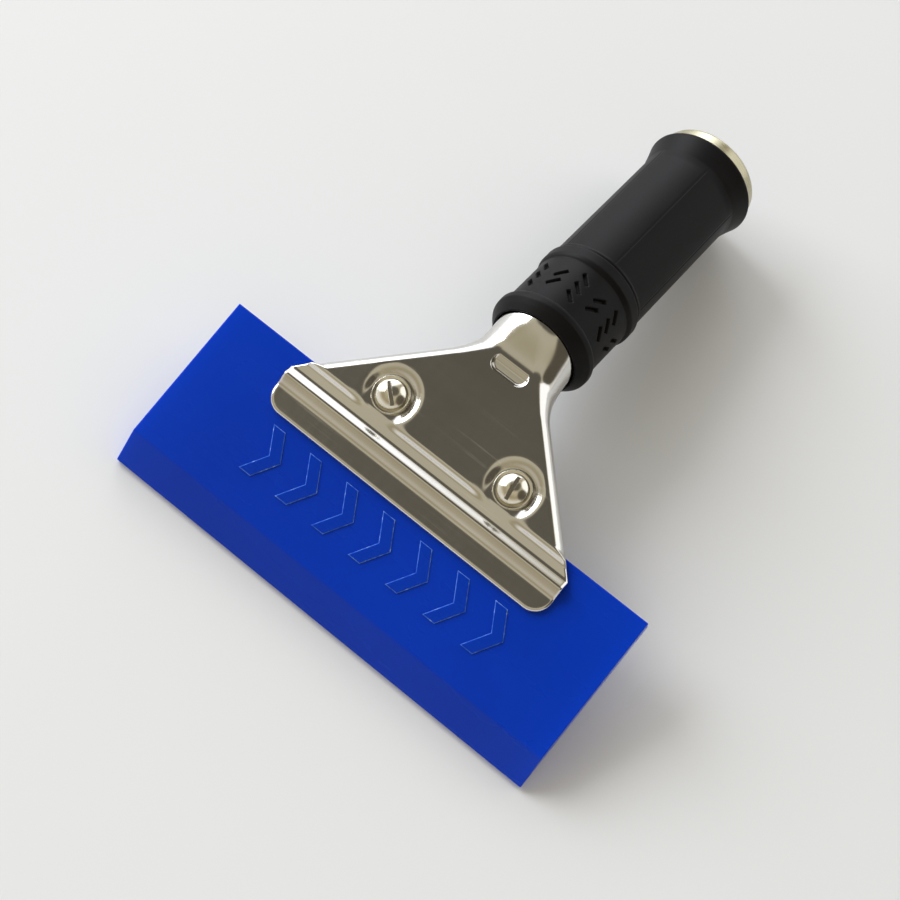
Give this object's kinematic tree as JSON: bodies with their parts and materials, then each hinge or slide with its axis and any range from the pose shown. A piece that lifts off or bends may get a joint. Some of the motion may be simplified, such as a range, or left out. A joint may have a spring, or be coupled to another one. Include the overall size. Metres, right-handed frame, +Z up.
{
  "type": "squeegee applicator",
  "caption": "Hand squeegee: a bevelled urethane blade clamped between two stamped steel jaws by slotted screws, on a bent neck with a round rubber grip and a pole socket.",
  "frame": {"origin": "centre of the overall box on the surface that the tool lies on", "axes": "+Z up; X along the blade; +Y from the blade towards the end of the handle"},
  "size_m": [0.127, 0.1618, 0.0396],
  "materials": {
    "urethane": "satin",
    "polished_steel": "polished",
    "fastener_steel": "polished",
    "tube_steel": "satin",
    "grip_rubber": "matt",
    "plated_steel": "satin",
    "rivet_alloy": "satin"
  },
  "bodies": {
    "handle": {"upper_shell": "polished_steel", "washer_left": "fastener_steel", "washer_right": "fastener_steel", "core_tube": "tube_steel", "grip_sleeve": "grip_rubber", "end_ferrule": "plated_steel", "rivet_front": "rivet_alloy", "rivet_rear": "rivet_alloy"},
    "lower_jaw": {"lower_shell": "polished_steel", "nut_left": "fastener_steel", "nut_right": "fastener_steel"},
    "screw_left": {"screw_left": "fastener_steel"},
    "screw_right": {"screw_right": "fastener_steel"},
    "blade": {"blade": "urethane"}
  },
  "joints": [
    {"name": "jaw_open", "type": "hinge", "parent": "handle", "child": "lower_jaw", "pos_m": [0, 0.00112, 0.02193], "axis": [1, 0, 0], "range_deg": [0, 2.6]},
    {"name": "screw_left_turn", "type": "hinge", "parent": "handle", "child": "screw_left", "pos_m": [-0.0188, -0.03174, 0.02348], "axis": [0, -0.2895, 0.9572], "range_deg": [0, 720]},
    {"name": "screw_right_turn", "type": "hinge", "parent": "handle", "child": "screw_right", "pos_m": [0.0188, -0.03174, 0.02348], "axis": [0, -0.2895, 0.9572], "range_deg": [0, 720]},
    {"name": "blade_slide", "type": "slide", "parent": "handle", "child": "blade", "axis": [1, 0, 0], "range_m": [-0.0205, 0.0205]}
  ],
  "couplings": [
    {"joint": "screw_left_turn", "follows": "jaw_open", "ratio": 276.92},
    {"joint": "screw_right_turn", "follows": "jaw_open", "ratio": 276.92}
  ]
}
